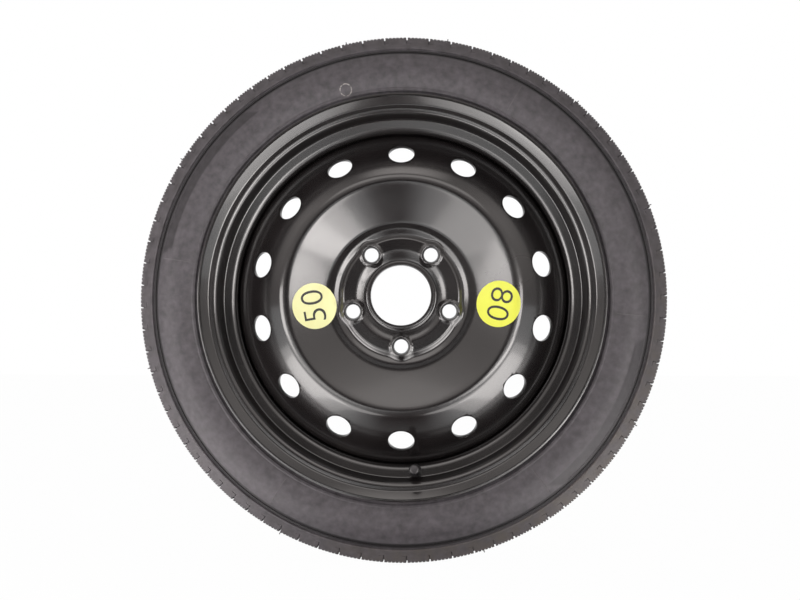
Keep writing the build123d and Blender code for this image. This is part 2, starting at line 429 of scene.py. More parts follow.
def smoothed(piece: Piece, angle: float = 40.0) -> Piece:
    """Shades a piece smooth.

    Args:
        piece: the piece.
        angle: bend past which an edge stays sharp, in degrees.

    Returns:
        The same piece.
    """
    take(piece)
    bpy.ops.object.shade_smooth_by_angle(angle=math.radians(angle))
    return piece


# Finishes


class Nodes:
    """Node tree with short calls that add and join its nodes."""

    def __init__(self, tree: bpy.types.NodeTree) -> None:
        """Takes a tree and adds the place that its textures are laid out by."""
        self.tree = tree
        self.place = self.add("ShaderNodeTexCoord").outputs["Object"]

    def add(self, kind: str, sockets: dict | None = None, **settings: object) -> bpy.types.Node:
        """Adds a node.

        Args:
            kind: Blender's name of the node.
            sockets: input name or number to a value or another node's output.
            settings: the node's own properties.

        Returns:
            The node.
        """
        node = self.tree.nodes.new(kind)
        for key, value in settings.items():
            setattr(node, key, value)
        for key, value in (sockets or {}).items():
            self.set(node.inputs[key], value)
        return node

    def set(self, socket: Socket, value: object) -> None:
        """Feeds a socket.

        Args:
            socket: the input.
            value: another node's output, or a constant.
        """
        if isinstance(value, Socket):
            self.tree.links.new(value, socket)
        else:
            socket.default_value = value

    def maths(self, what: str, a: object, b: object = 0.0) -> Socket:
        """One sum of two values."""
        return self.add("ShaderNodeMath", {0: a, 1: b}, operation=what).outputs[0]

    def product(self, *values: object) -> Socket:
        """Multiplies values.

        Args:
            values: two or more outputs or numbers.

        Returns:
            Their product.
        """
        total = values[0]
        for value in values[1:]:
            total = self.maths("MULTIPLY", total, value)
        return total

    def spread(self, value: object, low: Point, high: Point) -> Socket:
        """Maps a value from the range of the first of each pair to that of the second."""
        sockets = {0: value, 1: low[0], 2: high[0], 3: low[1], 4: high[1]}
        return self.add("ShaderNodeMapRange", sockets, clamp=True).outputs[0]

    def within(self, value: object, low: float, high: float, soft: float) -> Socket:
        """Share that is 1 between two values and fades to 0 outside them."""
        rise = self.spread(value, (low - soft, 0.0), (low + soft, 1.0))
        return self.product(rise, self.spread(value, (high - soft, 1.0), (high + soft, 0.0)))

    def mixed(self, share: object, first: object, second: object) -> Socket:
        """Mixes two colours.

        Args:
            share: of the second colour.
            first: colour or output.
            second: colour or output.

        Returns:
            The mixed colour.
        """
        node = self.add("ShaderNodeMix", data_type="RGBA")
        for key, value in ((0, share), (6, first), (7, second)):
            self.set(node.inputs[key], (*value, 1.0) if isinstance(value, tuple) else value)
        return node.outputs[2]

    def way(self) -> tuple[Socket, ...]:
        """The three parts of the place."""
        return tuple(self.add("ShaderNodeSeparateXYZ", {0: self.place}).outputs)


class Recipe(Nodes):
    """Node tree of one finish."""

    def __init__(self, name: str) -> None:
        """Starts a material with a principled surface.

        Args:
            name: of the material.
        """
        self.material = bpy.data.materials.new(name)
        self.material.use_nodes = True
        super().__init__(self.material.node_tree)
        self.surface = self.tree.nodes["Principled BSDF"]

    def look(self, **sockets: object) -> None:
        """Sets inputs of the surface, with _ for a space in their names."""
        for key, value in sockets.items():
            self.set(self.surface.inputs[key.replace("_", " ")], value)

    def noise(self, scale: float, detail: float = 3.0, place: object = None) -> Socket:
        """Noise of a scale, in cycles a metre, over the object or another place."""
        sockets = {"Vector": place or self.place, "Scale": scale, "Detail": detail}
        return self.add("ShaderNodeTexNoise", sockets).outputs["Fac"]

    def bumped(self, height: object, strength: float, depth: float, under: object = None) -> Socket:
        """Makes a bump.

        Args:
            height: its height from 0 to 1.
            strength: its share of the full bump.
            depth: of the full bump, in mm.
            under: another bump that it lies on.

        Returns:
            The bumped normal.
        """
        sockets = {"Height": height, "Strength": strength, "Distance": depth * MM}
        if under is not None:
            sockets["Normal"] = under
        return self.add("ShaderNodeBump", sockets).outputs[0]

    def length(self, a: Socket, b: Socket) -> Socket:
        """Length of a flat vector from its two parts."""
        return self.maths("SQRT", self.maths("ADD", self.product(a, a), self.product(b, b)))

    def polar(self) -> tuple[Socket, Socket]:
        """Radius in metres and angle in radians round the wheel's axis."""
        x, _, z = self.way()
        return self.length(x, z), self.maths("ARCTAN2", z, x)

    def wave(self, angle: object, turns: float, peak: float) -> Socket:
        """Cosine wave round the axis that peaks at an angle in degrees."""
        shifted = self.maths("SUBTRACT", self.product(angle, turns), math.radians(peak) * turns)
        return self.maths("COSINE", shifted)


@dataclass(frozen=True)
class BlackPaint:
    """Gloss black paint on pressed steel, with a little peel, haze and dust.

    It is dull between two radii of the rim past a depth, in mm, each with its fade.
    """

    name: str = "gloss_black_paint"
    colour: Colour = (0.0088, 0.0075, 0.0078)
    dust: Colour = (0.0150, 0.0122, 0.0118)
    haze_scale: float = 11.0
    speck_scale: float = 820.0
    speck_share: float = 0.8
    roughness: Point = (0.18, 0.29)
    specular: Point = (0.85, 0.12)
    coat: float = 0.8
    peel_scale: float = 260.0
    ripple_scale: float = 46.0
    dull_radii: Point = (192.0, 201.0)
    dull_edge: float = 1.2
    dull_depths: Point = (31.5, 34.5)
    dull_roughness: float = 0.3

    def dull(self, mix: Recipe) -> Socket:
        """Share of the dull ring.

        Args:
            mix: the paint's node tree.

        Returns:
            The share.
        """
        radius, _ = mix.polar()
        depth = mix.maths("ABSOLUTE", mix.way()[1])
        (low, high), (near, far) = self.dull_radii, self.dull_depths
        deep = mix.spread(depth, (near * MM, 0.0), (far * MM, 1.0))
        return mix.product(deep, mix.within(radius, low * MM, high * MM, self.dull_edge * MM))

    def material(self) -> Finish:
        """Makes the paint.

        Returns:
            The material.
        """
        mix = Recipe(self.name)
        haze = mix.noise(self.haze_scale, 4.0)
        specks = mix.spread(mix.noise(self.speck_scale, 1.0), (0.66, 0.0), (0.78, self.speck_share))
        film = mix.spread(haze, (0.42, 0.0), (0.75, 0.55))
        share = mix.maths("MAXIMUM", film, specks)
        mix.look(Base_Color=mix.mixed(share, self.colour, self.dust))
        dull = self.dull(mix)
        rough = mix.spread(haze, (0.3, self.roughness[0]), (0.72, self.roughness[1]))
        mix.look(Roughness=mix.maths("ADD", rough, mix.product(dull, self.dull_roughness)))
        mix.look(Specular_IOR_Level=mix.spread(dull, (0.0, self.specular[0]), (1.0, self.specular[1])))
        mix.look(Coat_Weight=mix.spread(dull, (0.0, self.coat), (1.0, 0.0)))
        mix.look(Coat_Roughness=0.10, Coat_IOR=1.55)
        peel = mix.bumped(mix.noise(self.peel_scale, 2.0), 0.10, 0.25)
        mix.look(Normal=mix.bumped(mix.noise(self.ripple_scale, 2.0), 0.06, 1.2, peel))
        return mix.material


@dataclass(frozen=True)
class TyreRubber:
    """Moulded tyre rubber with bloom, flow marks, mould lines, an ink ring, a dusty tread, and painted
    shade in a band under the shoulder and in the sunk panels.

    Radii are in mm and angles in degrees.
    """

    name: str = "tyre_rubber"
    colour: Colour = (0.046, 0.0425, 0.047)
    bloom: Colour = (0.088, 0.081, 0.090)
    dust: Colour = (0.078, 0.068, 0.061)
    ink: Colour = (0.42, 0.40, 0.38)
    # Painted shade colour, for the band under the shoulder and the sunk panels.
    shade: Colour = (0.010, 0.009, 0.010)
    flow_scale: Point = (38.0, 170.0)
    cloud_scale: float = 85.0
    grain_scale: float = 1900.0
    wear_scale: float = 90.0
    wear_middle: float = 312.0
    tread_radii: Point = (270.6, 271.6)
    mould_lines: tuple[float, ...] = (60.0, 171.0, 238.0, 307.0, 355.0)
    line_radii: Point = (231.0, 262.0)
    line_cosines: Point = (1 - 4.2e-6, 1 - 0.6e-6)
    line_share: float = 0.05
    # Painted shade: a darker band under the shoulder's step, between these radii.
    shade_band_radii: Point = (264.5, 270.3)
    shade_band_share: float = 0.88
    # Painted shade: the sunk panels are painted darker by this share.
    panel_share: float = 0.55
    panel_shade_fade: float = 0.012
    ink_place: Point = (232.3, 105.0)
    ink_radii: Point = (5.7, 6.7)
    ink_edge: float = 0.35

    def ring(self, mix: Recipe, radius: Socket, radii: Point, soft: float) -> Socket:
        """Share of a ring between two radii, which fade over a soft edge in mm."""
        return mix.within(radius, radii[0] * MM, radii[1] * MM, soft * MM)

    def ink_ring(self, mix: Recipe) -> Socket:
        """Share of the chalky ring stamped on the street sidewall.

        Args:
            mix: the rubber's node tree.

        Returns:
            The share.
        """
        spot = on_face(self.ink_place[0], 0.0, self.ink_place[1])
        x, y, z = mix.way()
        away = mix.length(mix.maths("SUBTRACT", x, spot.x), mix.maths("SUBTRACT", z, spot.z))
        worn = mix.spread(mix.noise(420.0, 3.0), (0.4, 0.1), (0.6, 0.8))
        street = mix.spread(y, (-0.03, 1.0), (-0.02, 0.0))
        return mix.product(self.ring(mix, away, self.ink_radii, self.ink_edge), worn, street)

    def panels(self, mix: Recipe, radius: Socket, angle: Socket) -> Socket:
        """Share of the two sunk panels, where shade is painted in.

        Args:
            mix: the rubber's node tree.
            radius: from the wheel's axis, in metres.
            angle: round the axis, in radians.

        Returns:
            The share.
        """
        tyre, fade = Tyre(), self.panel_shade_fade
        middle = sum(tyre.panel_radii) / 2 * MM
        slant = mix.product(mix.maths("SUBTRACT", radius, middle), tyre.panel_slant / MM)
        turned_back = mix.maths("SUBTRACT", angle, mix.maths("RADIANS", slant))
        edge = math.cos(math.radians(2 * tyre.panel_half))
        along = mix.wave(turned_back, 2.0, tyre.panel_middle)
        ends = mix.spread(along, (edge - fade, 0.0), (edge + fade, 1.0))
        return mix.product(ends, self.ring(mix, radius, tyre.panel_radii, 0.8))

    def lines(self, mix: Recipe, radius: Socket, angle: Socket) -> Socket:
        """Share of the fine lines between the mould's segments.

        Args:
            mix: the rubber's node tree.
            radius: from the wheel's axis, in metres.
            angle: round the axis, in radians.

        Returns:
            The share.
        """
        low, high = self.line_cosines
        total: object = 0.0
        for place in self.mould_lines:
            near = mix.spread(mix.wave(angle, 1.0, place), (low, 0.0), (high, 1.0))
            total = mix.maths("MAXIMUM", near, total)
        return mix.product(total, self.ring(mix, radius, self.line_radii, 1.0))

    def material(self) -> Finish:
        """Makes the rubber.

        Returns:
            The material.
        """
        mix = Recipe(self.name)
        radius, angle = mix.polar()
        around, across = self.flow_scale
        rolled = {0: mix.product(angle, around), 1: mix.product(radius, across)}
        flow = mix.noise(1.0, 6.0, mix.add("ShaderNodeCombineXYZ", rolled).outputs[0])
        clouds = mix.noise(self.cloud_scale, 6.0)
        share = mix.spread(mix.maths("ADD", flow, clouds), (0.72, 0.0), (1.32, 1.0))
        coat = mix.mixed(share, self.colour, self.bloom)
        tread = mix.spread(radius, (self.tread_radii[0] * MM, 0.0), (self.tread_radii[1] * MM, 1.0))
        low_side = mix.spread(mix.wave(angle, 1.0, self.wear_middle), (0.35, 0.16), (0.95, 1.0))
        patches = mix.spread(mix.noise(self.wear_scale, 6.0), (0.35, 0.2), (0.7, 0.95))
        coat = mix.mixed(mix.product(tread, low_side, patches), coat, self.dust)
        lines = self.lines(mix, radius, angle)
        coat = mix.mixed(mix.product(lines, self.line_share), coat, self.ink)
        # Painted shade in the band under the shoulder.
        shade_band = mix.product(self.ring(mix, radius, self.shade_band_radii, 0.6), self.shade_band_share)
        coat = mix.mixed(shade_band, coat, self.shade)
        # Painted shade in the sunk panels.
        panels = mix.product(self.panels(mix, radius, angle), self.panel_share)
        coat = mix.mixed(panels, coat, self.shade)
        mix.look(Base_Color=mix.mixed(self.ink_ring(mix), coat, self.ink))
        mix.look(Roughness=mix.spread(clouds, (0.3, 0.46), (0.7, 0.62)), Specular_IOR_Level=0.42)
        grain = mix.bumped(mix.noise(self.grain_scale, 3.0), 0.22, 0.25)
        mix.look(Normal=mix.bumped(flow, 0.12, 0.8, mix.bumped(lines, 0.6, 0.4, grain)))
        return mix.material


@dataclass(frozen=True)
class Moulding:
    """Plain black rubber or plastic with a fine moulded grain."""

    name: str
    colour: Colour
    roughness: float
    grain: float = 1500.0
    cloud_scale: float = 140.0

    def material(self) -> Finish:
        """Makes the moulding's finish.

        Returns:
            The material.
        """
        mix = Recipe(self.name)
        clouds = mix.noise(self.cloud_scale, 4.0)
        pale = tuple(min(1.0, part * 2.2 + 0.006) for part in self.colour)
        mix.look(Base_Color=mix.mixed(mix.spread(clouds, (0.4, 0.0), (0.8, 0.7)), self.colour, pale))
        low, high = self.roughness - 0.06, self.roughness + 0.08
        mix.look(Roughness=mix.spread(clouds, (0.3, low), (0.7, high)))
        mix.look(Normal=mix.bumped(mix.noise(self.grain, 2.0), 0.2, 0.1))
        return mix.material


@dataclass(frozen=True)
class TurnedMetal:
    """Bright metal with the fine rings of a lathe tool."""

    name: str
    colour: Colour
    roughness: float = 0.3
    tarnish_scale: float = 300.0
    tool_scale: float = 4000.0

    def material(self) -> Finish:
        """Makes the metal.

        Returns:
            The material.
        """
        mix = Recipe(self.name)
        tarnish = mix.spread(mix.noise(self.tarnish_scale, 5.0), (0.45, 0.0), (0.8, 0.8))
        dull = tuple(part * 0.55 for part in self.colour)
        mix.look(Base_Color=mix.mixed(tarnish, self.colour, dull), Metallic=1.0)
        mix.look(Roughness=mix.spread(tarnish, (0.0, self.roughness), (0.8, self.roughness + 0.2)))
        mix.look(Normal=mix.bumped(mix.noise(self.tool_scale, 1.0), 0.15, 0.05))
        return mix.material


@dataclass(frozen=True)
class LabelFilm:
    """Printed plastic film with faint blotches and a satin face."""

    name: str
    colour: Colour
    shade: Colour
    blotch_scale: float = 48.0
    ripple_scale: float = 170.0

    def material(self) -> Finish:
        """Makes the film.

        Returns:
            The material.
        """
        mix = Recipe(self.name)
        blotch = mix.noise(self.blotch_scale, 5.0)
        share = mix.spread(blotch, (0.45, 0.0), (0.8, 0.8))
        mix.look(Base_Color=mix.mixed(share, self.colour, self.shade))
        mix.look(Roughness=mix.spread(blotch, (0.3, 0.32), (0.7, 0.46)), Specular_IOR_Level=0.4)
        mix.look(Normal=mix.bumped(mix.noise(self.ripple_scale, 3.0), 0.12, 0.12))
        return mix.material


def dressed(piece: Piece, material: Finish) -> Piece:
    """Gives a piece one material all over.

    Args:
        piece: the piece.
        material: its material.

    Returns:
        The same piece.
    """
    piece.data.materials.clear()
    piece.data.materials.append(material)
    return piece


def placed(piece: Piece, body: str, node: str = "") -> Piece:
    """Ties a piece to the frame.

    Args:
        piece: the finished piece.
        body: the body that it moves with.
        node: the node that it stands for, if any.

    Returns:
        The same piece.
    """
    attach(piece, body)
    if node:
        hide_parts(node)
    log.info("%s: %d faces on %s", piece.name, len(piece.data.polygons), body)
    return piece


# The wheel's sub-assemblies


@dataclass
class Rim:
    """Drop-centre rim rolled from sheet, in mm."""

    seat_radius: float = 202.8
    half_width: float = 50.8
    thickness: float = 2.5
    flange_height: float = 17.3
    flange_wall: float = 8.0
    flange_curl: float = 8.0
    flange_reach: float = 11.0
    lip_fillet: float = 4.2
    curl_fillet: float = 6.0
    heel_fillet: float = 3.6
    seat_length: float = 22.0
    seat_taper: float = 5.0
    well_depth: float = 16.3
    street_tilt: float = 8.0
    street_fillets: Point = (4.6, 5.2)
    car_tilt: float = 38.0
    car_fillets: Point = (6.0, 5.0)
    hole_reach: float = 16.0
    hole_sides: int = 32
    easing: float = 1.05
    eased_angle: float = 60.0
    sharp_angle: float = 34.0
    steps: int = 300

    def flange(self, side: int) -> list[Corner]:
        """Gives one flange.

        Args:
            side: 1 for the street's side, -1 for the car's.

        Returns:
            Its corners from the lip to the bead's heel.
        """
        lip, face = self.seat_radius + self.flange_height, side * self.half_width
        return [
            Corner(lip, face + side * self.flange_reach),
            Corner(lip, face + side * self.flange_curl, self.lip_fillet, 7),
            Corner(self.seat_radius + self.flange_wall, face, self.curl_fillet, 8),
            Corner(self.seat_radius, face, self.heel_fillet, 8),
        ]

    def line(self) -> list[Point]:
        """Gives the side that faces the tyre.

        Returns:
            Its points from the street's lip to the car's.
        """
        seat_end = self.half_width - self.seat_length
        low_seat = self.seat_radius - self.seat_length * math.tan(math.radians(self.seat_taper))
        well = self.seat_radius - self.well_depth
        street_well = seat_end - (low_seat - well) * math.tan(math.radians(self.street_tilt))
        car_well = (low_seat - well) * math.tan(math.radians(self.car_tilt)) - seat_end
        return rounded([
            *self.flange(1),
            Corner(low_seat, seat_end, self.street_fillets[0], 8),
            Corner(well, street_well, self.street_fillets[1], 9),
            Corner(well, car_well, self.car_fillets[1], 6),
            Corner(low_seat, -seat_end, self.car_fillets[0], 6),
            *self.flange(-1)[::-1],
        ])

    def build(self, paint: Finish, valve: "Valve") -> Piece:
        """Makes the rim.

        Args:
            paint: its finish.
            valve: whose hole goes through its wall.

        Returns:
            The rim.
        """
        rim = turned("rim_sheet", sheet_loop(self.line(), self.thickness), self.steps)
        turn = (math.pi / 2, 0, 0)
        hole = rod("hole", valve.hole / 2, self.hole_reach, self.hole_sides, Vector(), turn)
        carved(rim, settle(hole, valve.place))
        smoothed(eased(rim, self.easing, self.eased_angle, 4), self.sharp_angle)
        return placed(dressed(rim, paint), "wheel", "rim")


@dataclass
class Disc:
    """Pressed disc with its bolt ring, seats, collar and vents, in mm."""

    back: float = 41.0
    thickness: float = 3.6
    bore: float = 32.55
    collar: float = 10.0
    collar_fillet: float = 2.4
    collar_margin: float = 0.2
    pad_radius: float = 81.0
    pad_fillet: float = 10.0
    crest_radius: float = 127.0
    crest_rise: float = 18.5
    crest_fillet: float = 13.0
    outer_slope: float = 38.0
    edge_radius: float = 183.95
    edge_fillet: float = 12.0
    flange_length: float = 34.0
    fine_radius: float = 85.0
    fine_step: float = 1.1
    coarse_step: float = 4.0
    shoulder: float = 2.3
    shoulder_from: float = 67.0
    shoulder_run: float = 7.5
    bow: float = 0.5
    slope_bow: float = 1.3
    bolt_circle: float = 55.0
    bolt_count: int = 5
    bolt_angle: float = 270.0
    bolt_hole: float = 7.5
    hole_fillet: float = 0.6
    ring_rise: float = 3.5
    ring_foot: float = 38.5
    ring_top: float = 51.0
    ring_outer: float = 67.4
    ring_lobe: float = 16.7
    ring_width: float = 5.2
    lobe_inset: float = 1.4
    neck: float = 2.4
    boss: float = 12.8
    boss_width: float = 2.2
    boss_rise: float = 1.5
    seat_land: float = 1.6
    seat_angle: float = 30.0
    seat_fillet: float = 1.6
    seat_lip: Point = (2.4, 0.3)
    cutter_reach: Point = (6.0, 8.0)
    vent_count: int = 14
    vent_circle: float = 157.0
    vent_radius: float = 14.25
    vent_start: float = 90.0
    vent_sides: int = 56
    easing: float = 0.55
    eased_angle: float = 50.0
    sharp_angle: float = 32.0
    seat_steps: int = 48
    steps: int = 280

    @property
    def front(self) -> float:
        """Outboard distance of the pad's street face."""
        return self.back + self.thickness

    @property
    def root(self) -> float:
        """Radius of the collar's outer wall."""
        return self.bore + self.thickness

    def slope_out(self, radius: float) -> float:
        """Outboard distance of the outer slope at a radius."""
        drop = (radius - self.crest_radius) * math.tan(math.radians(self.outer_slope))
        return self.front + self.crest_rise - drop

    def line(self) -> list[Point]:
        """Gives the street side.

        Returns:
            Its points from the collar's edge to the flange's rear edge.
        """
        corner = self.slope_out(self.edge_radius)
        straight = refined(rounded([
            Corner(self.root, self.front + self.collar),
            Corner(self.root, self.front, self.collar_fillet),
            Corner(self.pad_radius, self.front, self.pad_fillet, 8),
            Corner(self.crest_radius, self.front + self.crest_rise, self.crest_fillet, 12),
            Corner(self.edge_radius, corner, self.edge_fillet, 10),
            Corner(self.edge_radius, corner - self.flange_length),
        ]), lambda radius: self.fine_step if radius < self.fine_radius else self.coarse_step)
        return [(radius, out + self.form(radius)) for radius, out in straight]

    def form(self, radius: float) -> float:
        """Height that the pad's shoulder and the bows of dish and slope add.

        Args:
            radius: where it is wanted.

        Returns:
            The height there.
        """
        shoulder = self.shoulder * blend_step((radius - self.shoulder_from) / self.shoulder_run)
        share = share_along(radius, self.pad_radius, self.crest_radius)
        down = share_along(radius, self.crest_radius, self.edge_radius)
        return (1 - share) * (shoulder - 4 * self.bow * share) + 4 * self.slope_bow * down * (1 - down)

    def rise(self, x: float, z: float) -> float:
        """Height that the bolt ring and the seat bosses add.

        Args:
            x: place on the pad, sideways.
            z: place on the pad, upwards.

        Returns:
            The height there.
        """
        radius = math.hypot(x, z)
        pitch = math.tau / self.bolt_count
        turn = math.atan2(z, x) - math.radians(self.bolt_angle)
        turn -= pitch * round(turn / pitch)
        off = math.hypot(radius * math.cos(turn) - self.bolt_circle, radius * math.sin(turn))
        edge, lobe = radius - self.ring_outer, off - self.ring_lobe
        soft = max(self.neck - abs(edge - lobe), 0.0) / self.neck
        edge = min(edge, lobe) - soft * soft * self.neck / 4
        outside = blend_step(-edge / self.ring_width)
        inside = max(blend_step((radius - self.ring_foot) / (self.ring_top - self.ring_foot)),
                     blend_step(-(lobe + self.lobe_inset) / self.ring_width))
        boss = blend_step((self.boss - off) / self.boss_width) * self.boss_rise
        return min(outside, inside) * self.ring_rise + boss

    def bolt_cutter(self) -> Piece:
        """Makes the coned bolt holes.

        Returns:
            All of them as one cutter.
        """
        top = self.front + self.ring_rise + self.boss_rise
        foot = self.back + self.ring_rise + self.seat_land
        wide = self.bolt_hole + (top - foot) * math.tan(math.radians(self.seat_angle))
        start, end = self.back - self.cutter_reach[0], top + self.cutter_reach[1]
        lip, step = self.seat_lip
        profile = rounded([
            Corner(0, start), Corner(self.bolt_hole, start),
            Corner(self.bolt_hole, foot, self.hole_fillet, 3), Corner(wide, top, self.seat_fillet, 5),
            Corner(wide + lip, top + step), Corner(wide + lip, end), Corner(0, end),
        ])
        cutter = turned("bolt_holes", profile, self.seat_steps)
        settle(cutter, Matrix.Translation(on_face(self.bolt_circle, 0, 0)))
        return round_copies(cutter, spaced(self.bolt_count, self.bolt_angle), "bolt_holes")

    def vent_cutter(self) -> Piece:
        """Makes the vents, each square to the outer slope.

        Returns:
            All of them as one cutter.
        """
        place = on_face(self.vent_circle, self.slope_out(self.vent_circle), 0)
        turn = (math.pi / 2, 0, math.radians(self.outer_slope))
        cutter = rod("vents", self.vent_radius, 7 * self.thickness, self.vent_sides, place, turn)
        return round_copies(cutter, spaced(self.vent_count, self.vent_start), "vents")

    def build(self, paint: Finish) -> Piece:
        """Makes the pressed disc.

        Args:
            paint: its finish.

        Returns:
            The disc.
        """
        disc = turned("pressed_disc", sheet_loop(self.line(), self.thickness), self.steps)
        for vertex in disc.data.vertices:
            x, _, z = vertex.co / MM
            if self.root + self.collar_margin < math.hypot(x, z) < self.pad_radius:
                vertex.co.y -= self.rise(x, z) * MM
        carved(disc, self.bolt_cutter())
        carved(disc, self.vent_cutter())
        smoothed(eased(disc, self.easing, self.eased_angle), self.sharp_angle)
        return placed(dressed(disc, paint), "wheel", "wheel_disc")


class ShoulderCut(Enum):
    """A cut's radii from the tread's edge, its ends across and along the tread, and its places.

    Lengths are in mm, and places are shares of a slot's pitch.
    """

    SLOT = ((-3.4, 6.8), (19.0, 54.6), (-1.0, 1.0), (0.0,))
    FINE = ((-1.3, 6.8), (27.0, 51.5), (-0.6, 0.6), (0.18, 0.34, 0.5, 0.66, 0.82))
    SLIT = ((-7.8, -2.4), (49.0, 53.4), (-0.45, 0.45), (0.0,))
    HOOK = ((-7.8, -7.0), (50.9, 53.4), (-5.0, 0.3), (0.0,))


@dataclass
class Tyre:
    """Narrow tyre with ribbed sidewalls and a slotted tread, in mm.

    The ribs are counted from the shoulder's foot, and the whiskers' place from the tread's edge.
    """

    crown: float = 290.7
    crown_fall: float = 0.1
    half_tread: float = 48.5
    tread_drop: float = 4.7
    tread_stops: Point = (36.0, 43.0)
    groove_place: float = 19.0
    groove_width: float = 8.0
    groove_floor: float = 5.0
    groove_depth: float = 5.5
    shoulder_foot: Point = (271.5, 54.6)
    ribs: tuple[Corner, ...] = (
        Corner(3.0, -1.5), Corner(1.4, -0.1, 0.5, 2), Corner(0.1, -0.1, 0.5, 2), Corner(-1.0, -2.6, 0.8, 3),
        Corner(-2.6, -2.5), Corner(-3.0, -1.6, 0.2, 1), Corner(-3.5, -1.6, 0.2, 1), Corner(-3.9, -2.3),
        Corner(-5.3, -1.7, 0.6, 2),
    )
    sidewall_top: Point = (265.6, 56.2)
    widest: Point = (245.8, 62.7)
    sidewall_foot: Point = (222.5, 54.8)
    sidewall_steps: int = 36
    fitting_ring: Point = (224.0, 227.2)
    ring_rise: float = 0.8
    panel_radii: Point = (254.0, 264.6)
    panel_middle: float = 149.0
    panel_half: float = 20.0
    panel_slant: float = 0.24
    panel_depth: float = 0.7
    panel_edges: Point = (1.2, 1.1)
    bead_face: float = 50.6
    bead_seat: float = 203.0
    bead_toe: Point = (201.69, 35.6)
    bead_heel: float = 210.8
    bead_thickness: float = 9.0
    wall: float = 6.0
    lining: float = 280.2
    lining_corner: Corner = Corner(-3.6, -8.7, 8.0, 4)
    slot_count: int = 81
    slot_swing: float = 0.4
    slot_waves: int = 4
    whiskers: tuple[float, ...] = (102.3, 79.7, 47.7, 20.0, 148.0, 196.0, 243.0, 288.0, 331.0)
    whisker_radius: float = 0.55
    whisker_length: float = 3.2
    whisker_place: Point = (0.9, -1.6)
    sharp_angle: float = 28.0
    steps: int = 324

    @property
    def edge(self) -> float:
        """Radius of the tread's edge."""
        return self.tread(self.half_tread)

    def tread(self, out: float) -> float:
        """Radius of the tread's arch at an outboard distance."""
        return self.crown - self.tread_drop * (out / self.half_tread) ** 2

    def sidewall(self) -> list[Corner]:
        """Gives the sidewall's arc with the fitting ring.

        Returns:
            Its points from its top to its foot.
        """
        (x1, y1), (x2, y2), (x3, y3) = self.sidewall_top, self.widest, self.sidewall_foot
        first, second = Vector((x2 - x1, y2 - y1)), Vector((x3 - x1, y3 - y1))
        cross = 2 * (first.x * second.y - first.y * second.x)
        centre = Vector((
            x1 + (second.y * first.length_squared - first.y * second.length_squared) / cross,
            y1 + (first.x * second.length_squared - second.x * first.length_squared) / cross))
        start = Vector((x1, y1)) - centre
        sweep = start.angle_signed(Vector((x3, y3)) - centre)
        corners = []
        for step in range(self.sidewall_steps + 1):
            spoke = Matrix.Rotation(-sweep * step / self.sidewall_steps, 2) @ start
            raised = self.fitting_ring[0] < (centre + spoke).x < self.fitting_ring[1]
            place = centre + spoke * (1 + self.ring_rise * raised / spoke.length)
            corners.append(Corner(place.x, place.y))
        return corners

    def half_line(self) -> list[Point]:
        """Gives half the section.

        Returns:
            Its points from the crown round the bead to the lining.
        """
        near, far = (self.groove_place + side * self.groove_width / 2 for side in (-1, 1))
        floor = self.tread(self.groove_place) - self.groove_depth
        floor_near, floor_far = (self.groove_place + side * self.groove_floor / 2 for side in (-1, 1))
        toe_radius, toe_out = self.bead_toe
        return rounded([
            Corner(self.crown, 0), Corner(self.crown - self.crown_fall, near / 2),
            Corner(self.tread(near), near, 0.6, 2), Corner(floor, floor_near, 0.8, 3),
            Corner(floor, floor_far, 0.8, 3), Corner(self.tread(far), far, 0.6, 2),
            *[Corner(self.tread(out), out) for out in self.tread_stops],
            Corner(self.edge, self.half_tread, 1.6, 4),
            *[rib.moved(*self.shoulder_foot) for rib in self.ribs],
            *self.sidewall(),
            Corner(self.bead_heel, self.bead_face, 4.0, 4), Corner(self.bead_seat, self.bead_face, 3.0, 4),
            Corner(toe_radius, toe_out, 1.0, 3), Corner(toe_radius + self.bead_thickness, toe_out, 3.0, 3),
            Corner(self.widest[0], self.widest[1] - self.wall, 12.0, 5),
            self.lining_corner.moved(*self.shoulder_foot),
            Corner(self.lining, far, 6.0, 3), Corner(self.lining, 0),
        ])

    def panel_share(self, radius: float, angle: float) -> float:
        """Share of the full depth that the two sunk panels have.

        Args:
            radius: place on the sidewall.
            angle: place round the wheel, in degrees.

        Returns:
            The share there.
        """
        (low, high), (side, end) = self.panel_radii, self.panel_edges
        across = blend_step((radius - low) / side) * blend_step((high - radius) / side)
        away = (angle - self.panel_middle - self.panel_slant * (radius - (low + high) / 2)) % 180
        return across * blend_step((self.panel_half - min(away, 180 - away)) / end + 0.5)

    def press_panels(self, tyre: Piece) -> None:
        """Sinks the panels into both sidewalls.

        Args:
            tyre: the turned tyre.
        """
        least = self.shoulder_foot[1] - 1.0
        for vertex in tyre.data.vertices:
            x, y, z = vertex.co / MM
            if abs(y) > least:
                share = self.panel_share(math.hypot(x, z), math.degrees(math.atan2(z, x)))
                vertex.co.y -= math.copysign(share * self.panel_depth * MM, y)

    def slot_angle(self, step: float) -> float:
        """Angle of a shoulder slot, whose pitch swings a little round the tyre."""
        wave = math.sin(math.tau * self.slot_waves * step / self.slot_count)
        return 360 / self.slot_count * (step + self.slot_swing * wave)

    def cutter(self, cut: ShoulderCut) -> Piece:
        """Makes one kind of cut on both shoulders.

        Args:
            cut: the kind.

        Returns:
            All cuts of that kind as one cutter.
        """
        (low, high), (near, far), (behind, ahead), shares = cut.value
        angles = [self.slot_angle(step + share) for step in range(self.slot_count) for share in shares]
        radius, out, along = self.edge + (low + high) / 2, (near + far) / 2, (behind + ahead) / 2
        both = []
        for side in (1, -1):
            unselect()
            bpy.ops.mesh.primitive_cube_add(
                size=MM, scale=(high - low, far - near, ahead - behind),
                location=Vector((radius, -side * out, along)) * MM)
            both.append(round_copies(begun("cuts"), angles, "cuts"))
        return joined(both, "cuts")

